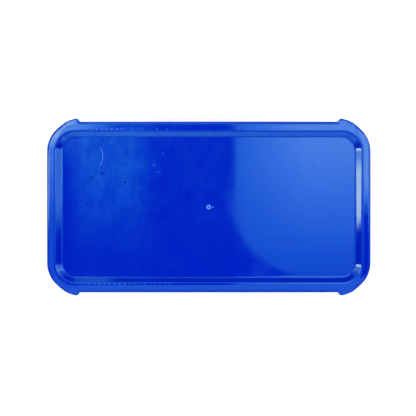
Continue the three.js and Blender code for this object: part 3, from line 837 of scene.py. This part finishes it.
# %% Rivets
HEAD_RADIUS, HEAD_TOP, SHANK_RADIUS, TAIL_RADIUS, TAIL_START, TAIL_END = 3.5, -1.6, 1.6, 2.6, 3.7, 4.8
dome = np.linspace(0.02, 1, 14)
dome_line = np.stack([HEAD_RADIUS * dome, HEAD_TOP + 1.1 * (1 - np.sqrt(1 - 0.96 * dome**2))], 1)
tail_line = rounded(
    [(SHANK_RADIUS, TAIL_START - 0.3), (SHANK_RADIUS, TAIL_START), (TAIL_RADIUS, TAIL_START),
     (TAIL_RADIUS, TAIL_END), (1.3, TAIL_END), (0.9, TAIL_END - 0.7), (0.03, TAIL_END - 0.75)],
    [0.1, 0.35, 0.55, 0.3, 0.3], 5)
rivet_line = np.vstack([dome_line, [(HEAD_RADIUS, -0.42), (HEAD_RADIUS - 0.08, -0.3),
                                    (SHANK_RADIUS, -0.3), (SHANK_RADIUS, 1.5)], tail_line])
for where, side in SIDES.items():
    for number in range(1, 6):
        node = f"{where}_rivet_{number}"
        low, high = node_box(node)
        middle = (low + high) / 2
        grid = on_land(turned(rivet_line, 48), side, u=-side * middle[0], v=middle[2])
        made = skin(f"{where}_set_rivet_{number}", grid, rivet_metal)
        stand_for(made, "pan_body", "rivet_steel", node)

# %% [markdown]
# ### Hand grips
# A soft grip is moulded onto each long wall. Its face has ribs along its length, so that wet fingers
# don't slide down. The ribs are a cosine across the grip, let in only inside a plain border.

# %% Hand grips
GRIP_HALF = (98.0, 17.0)
GRIP_CORNER, GRIP_LOW, GRIP_HIGH = 11.0, -0.7, 2.3
GRIP_BORDER, RIB_PITCH, RIB_DEPTH = 3.6, 3.9, 0.75
grip_points = perimeter(np.linspace(0, 90, 17), np.linspace(0.006, 0.994, 110), np.linspace(0.06, 0.94, 9))
back = [(8, GRIP_LOW), (0, GRIP_LOW), (0, GRIP_HIGH), (2.0, GRIP_HIGH)]
grip_line = np.vstack([rounded(back, [0.3, 1.0], 6), [(v, GRIP_HIGH) for v in np.arange(2.3, 16.9, 0.3)]])
inset, w = grip_line.T
grip_grid = levels(grip_points, GRIP_HALF[0] - inset, GRIP_HALF[1] - inset,
                   np.maximum(GRIP_CORNER - inset, 0.05), w)
u, v = np.abs(grip_grid[..., 0]), np.abs(grip_grid[..., 1])
field = ramp(GRIP_HALF[0] - GRIP_BORDER - u, 0, 3.0) * ramp(GRIP_HALF[1] - GRIP_BORDER - v, 0, 0.8)
field *= ramp(u + v, GRIP_HALF[0] + GRIP_HALF[1] - 9.5, GRIP_HALF[0] + GRIP_HALF[1] - 12.5)
ribs = RIB_DEPTH * (0.5 + 0.5 * np.cos(2 * np.pi * v / RIB_PITCH)) ** 1.5 - RIB_DEPTH
on_face = np.arange(len(inset))[:, None] > 12
grip_grid[..., 2] += np.where(on_face, ribs * field, 0)
GRIP_Z = (BASE_Z + STEP_Z) / 2
for where, side in SIDES.items():
    made = skin(where + "_ribbed_grip", on_wall(grip_grid, side, GRIP_Z), grip_rubber)
    stand_for(made, "pan_body", "grip_rubber", where + "_hand_grip")

# %% [markdown]
# ### Feet
# A foot is a turned rubber button with a rounded edge, and a shallow ring groove in its sole that lets
# water out. It sits a little way into the base.

# %% Feet
FOOT_RADIUS, FOOT_TOP = 8.0, 3.7
sole = rounded([(0.05, 0.5), (4.4, 0.5), (5.0, 0), (FOOT_RADIUS, 0), (FOOT_RADIUS, FOOT_TOP),
                (0.05, FOOT_TOP)], [0.3, 0.3, 0.8, 0.2], 6)
for where in SIDES:
    for hand in ("left", "right"):
        node = f"foot_{where}_{hand}"
        low, high = node_box(node)
        middle = (low + high) / 2 * np.array([1, 1, 0])
        made = skin(f"{where}_{hand}_foot_button", turned(sole, 64) + middle, foot_rubber)
        stand_for(made, "pan_body", "foot_rubber", node)

# %% [markdown]
# ## Studio
# The floor is plain and nearly white. Broad lamps that only light surfaces, and don't show in
# reflections, give the colour. What the glossy plastic mirrors is laid out apart from them, as a product
# photographer places cards: a large one over the right half, a weak one over the left, a bright low one
# at the left that the right slope picks up, and dim ones round the other sides for rim and slopes.

# %% Floor and world
FLOOR_SIZE = 2400.0
FLOOR_CLEAR = 350.0
WORLD_LIGHT = 0.35
WORLD_MIRRORED = (0.8, 2.9)
WORLD_FRONT = 0.35
floor_corners = np.array([[-1, -1], [1, -1], [1, 1], [-1, 1]]) * FLOOR_SIZE / 2
floor_mesh = bpy.data.meshes.new("floor")
floor_mesh.from_pydata([(*(c * MM), 0.0) for c in floor_corners], [], [(0, 1, 2, 3)])
floor = bpy.data.objects.new("floor", floor_mesh)
bpy.context.scene.collection.objects.link(floor)
floor_paper, floor_tree, floor_shader = new_material("floor_paper")
floor_shader.inputs["Base Color"].default_value = linear("#F2F2F2")
floor_shader.inputs["Roughness"].default_value = 0.9
floor_shader.inputs["Specular IOR Level"].default_value = 0.1
# the paper ends softly, so that no edge shows against the white round it
place = add(floor_tree, "TexCoord", out="Object")
far = add(floor_tree, "VectorMath", (place,), "Value", operation="LENGTH")
gone = add(floor_tree, "MapRange", (far, FLOOR_CLEAR * MM, FLOOR_SIZE / 2 * MM), "Result")
air = add(floor_tree, "BsdfTransparent", out="BSDF")
faded = add(floor_tree, "MixShader", (gone, floor_shader.outputs["BSDF"], air), "Shader")
floor_out = next(n for n in floor_tree.nodes if n.type == "OUTPUT_MATERIAL")
floor_tree.links.new(faded, floor_out.inputs["Surface"])
floor_mesh.materials.append(floor_paper)
floor.visible_glossy = False

world = bpy.data.worlds.new("studio")
world.use_nodes = True
sky = world.node_tree
sky.nodes.clear()
ray = add(sky, "LightPath").outputs
_, toward_back, up = add(sky, "SeparateXYZ", (add(sky, "TexCoord", out="Generated"),)).outputs
mirrored = add(sky, "MapRange", (up, -0.35, 0.65, *WORLD_MIRRORED), "Result")
# less comes from the front, where the studio is dark above the table
frontal = add(sky, "MapRange", (toward_back, -0.7, -0.2, WORLD_FRONT, 1.0), "Result")
mirrored = add(sky, "Math", (mirrored, frontal), "Value", operation="MULTIPLY")
shown = add(sky, "MapRange", (ray["Is Camera Ray"], 0, 1, WORLD_LIGHT, 1.0), "Result")
strength = add(sky, "MapRange", (ray["Is Glossy Ray"], 0, 1, shown, mirrored), "Result")
hues = {MIX_SHARE: ray["Is Glossy Ray"], MIX_A: (1, 1, 1, 1), MIX_B: linear("#C8ECF8")}
cool = add(sky, "Mix", hues, MIX_COLOUR, **COLOURS)
glow = add(sky, "Background", {"Color": cool, "Strength": strength}, "Background")
add(sky, "OutputWorld", {"Surface": glow})
bpy.context.scene.world = world
bpy.context.scene.view_settings.view_transform = "Standard"


# %% Lamps that only light surfaces
def lamp(name, place, target, size, watts, colour="#FFFFFF"):
    """Square area lamp at a place, facing a target, both in millimetres, hidden from reflections."""
    data = bpy.data.lights.new(name, "AREA")
    data.size = size * MM
    data.energy = watts
    data.color = linear(colour)[:3]
    made = bpy.data.objects.new(name, data)
    made.location = Vector(place) * MM
    made.rotation_euler = (Vector(target) - Vector(place)).to_track_quat("-Z", "Y").to_euler()
    made.visible_glossy = False
    made.visible_camera = False
    bpy.context.scene.collection.objects.link(made)


lamp("overhead", (0, 0, 1900), (0, 0, 0), 2400, 62)
lamp("left", (-1800, -900, 900), (0, 0, 40), 1200, 16)
lamp("right", (1800, -700, 900), (0, 0, 40), 1200, 16)
lamp("back", (300, 1900, 900), (0, 0, 40), 1200, 12)


# %% Cards for the reflections
def tint(strength):
    """Colour of a card's light: cool when it is dim, and warmer as it gets brighter, as lamps look.

    Red goes with the square of the strength up to a limit, and blue rises less above 3.
    """
    red = np.minimum(0.375 * strength**2, (0.9 + 0.17 * strength) * strength)
    green = 1.27 * strength
    blue = np.minimum(green, 3.0 + 0.4 * strength)
    return np.stack([red, green, blue, np.ones_like(strength)], -1)


def card(name, place, target, size, glow, soft=10.0, corners=(10, 10, 10, 10)):
    """Glowing card of (width, height) in mm that shows only in reflections.

    x and y run over the card from its middle. glow is its strength, or a function of x and y. The
    edge fades over soft mm: the distance to a rounded box is that to an inner box less the corner's
    radius. corners are the radii at lower left, lower right, upper right and upper left. A card
    is black past its glow, so its dark parts work as flags.
    """
    half_x, half_y = np.array(size) / 2
    x, y = np.meshgrid(np.linspace(-half_x, half_x, 90), np.linspace(-half_y, half_y, 90))
    radius = np.where(y < 0, np.where(x < 0, *corners[:2]), np.where(x < 0, corners[3], corners[2]))
    radius = np.maximum(radius, soft)
    past = [np.maximum(np.abs(v) - h + radius, 0) for v, h in ((x, half_x), (y, half_y))]
    edge = ramp(radius - np.hypot(*past), 0, soft)
    strength = edge**2 * (3 - 2 * edge) * (glow(x, y) if callable(glow) else glow)
    away = np.array(place, float) - target
    away /= np.linalg.norm(away)
    right = np.cross((0, 1, 0) if abs(away[2]) > 0.9 else (0, 0, 1), away)
    right /= np.linalg.norm(right)
    grid = place + x[..., None] * right + y[..., None] * np.cross(away, right)
    made = skin(name, grid, card_light, wrap=False, closed=False)
    shade = made.data.color_attributes.new("light", "FLOAT_COLOR", "POINT")
    shade.data.foreach_set("color", tint(strength).ravel())
    made.visible_camera = False
    made.visible_diffuse = False
    made.visible_shadow = False


def overhead_card(name, low, high, glow, **more):
    """Level card at the lens's height over the lid, from its low (x, y) corner to its high one."""
    low, high = np.array(low), np.array(high)
    middle = (low + high) / 2
    height = crest_z + CAMERA_HEIGHT
    card(name, (*middle, height), (*middle, height - 1), high - low, glow, **more)


card_light = bpy.data.materials.new("card_light")
card_light.use_nodes = True
card_light.cycles.emission_sampling = "NONE"
card_tree = card_light.node_tree
card_tree.nodes.clear()
light_of = add(card_tree, "Attribute", out="Color", attribute_name="light")
shine = add(card_tree, "Emission", {"Color": light_of, "Strength": 1.0}, "Emission")
add(card_tree, "OutputMaterial", {"Surface": shine})

BIG_CORNER = 152
DIVIDE = 49
overhead_card(
    "over_right", (DIVIDE, -146), (355, 330),
    lambda x, y: 1.5 + 0.6 * ramp(y, -200, 0) + 3.3 * ramp(x, -150, 0) * ramp(y, -200, 110),
    soft=12, corners=(BIG_CORNER, 12, 12, 12))
overhead_card("over_far_right", (355, -190), (520, 330), lambda x, y: 6.0 * ramp(y, -90, -20), soft=1)
overhead_card(
    "over_left", (-345, -196), (DIVIDE, 214),
    lambda x, y: 0.8 * ramp(x, -150, -110) * ramp(x, 30, -20) * ramp(y, -110, 60)
    + 2.2 * ramp(y - x, 235, 290) + 3.0 * ramp(y - x, 290, 315), soft=1)
overhead_card("over_far_left", (-520, -190), (-345, 330),
              lambda x, y: 1.4 + 2.4 * ramp(y, -90, 20) + 6.0 * ramp(y, 60, 120), soft=1)
overhead_card("over_back_left", (-345, 214), (48, 330), lambda x, y: 9.5 * ramp(x, -40, -190), soft=1)


# %% Low cards round the pan
LOW_OUT = 600
LOW_HEIGHT = crest_z + 330


def streak(x, y):
    """A flame lying on its side: its height shrinks as a root towards its far end."""
    height = 75 * np.sqrt(ramp(x, 52, -20))
    corner_glow = 4 * ramp(x, -150, -190) * ramp(70 - np.abs(y - 20), 0, 30)
    return 13 * ramp(x, -135, -80) * ramp(height - np.abs(y), 0, 20) + corner_glow


RIM_MIDDLE = (0, 0, crest_z)
card("low_left", (-LOW_OUT, 0, LOW_HEIGHT), RIM_MIDDLE, (700, 300), streak, soft=1)
card("low_right", (LOW_OUT, 0, LOW_HEIGHT), RIM_MIDDLE, (700, 300),
     lambda x, y: 3.0 * ramp(x, -60, 0) + 1.5 * ramp(x, 150, 200), soft=1)
card("low_front", (0, -700, crest_z + 160), RIM_MIDDLE, (1000, 230), 2.0, soft=30)
card("low_back", (0, 700, crest_z + 185), RIM_MIDDLE, (1100, 330),
     lambda x, y: 0.1 + 1.3 * ramp(x, 205, 230) * ramp(x, 310, 280) * ramp(y, 20, -20), soft=1)
for side, strength in ((-1, 12.0), (1, 8.0)):
    hand = "left" if side < 0 else "right"
    card(f"side_{hand}", (480 * side, 0, crest_z + 560), (lid_half[0] * side, 0, crest_z), (700, 90),
         lambda x, y: strength * ramp(x * side, -60, 60), soft=10)
    card(f"low_front_{hand}", (480 * side, -600, crest_z + 260), RIM_MIDDLE, (640, 260), 2.2, soft=20)
card("low_back_left", (-620, 520, crest_z + 230), RIM_MIDDLE, (450, 260), 0.1, soft=1)
card("low_back_right", (620, 520, crest_z + 230), RIM_MIDDLE, (450, 260),
     lambda x, y: 0.1 + 4.0 * ramp(x, -60, -140), soft=1)
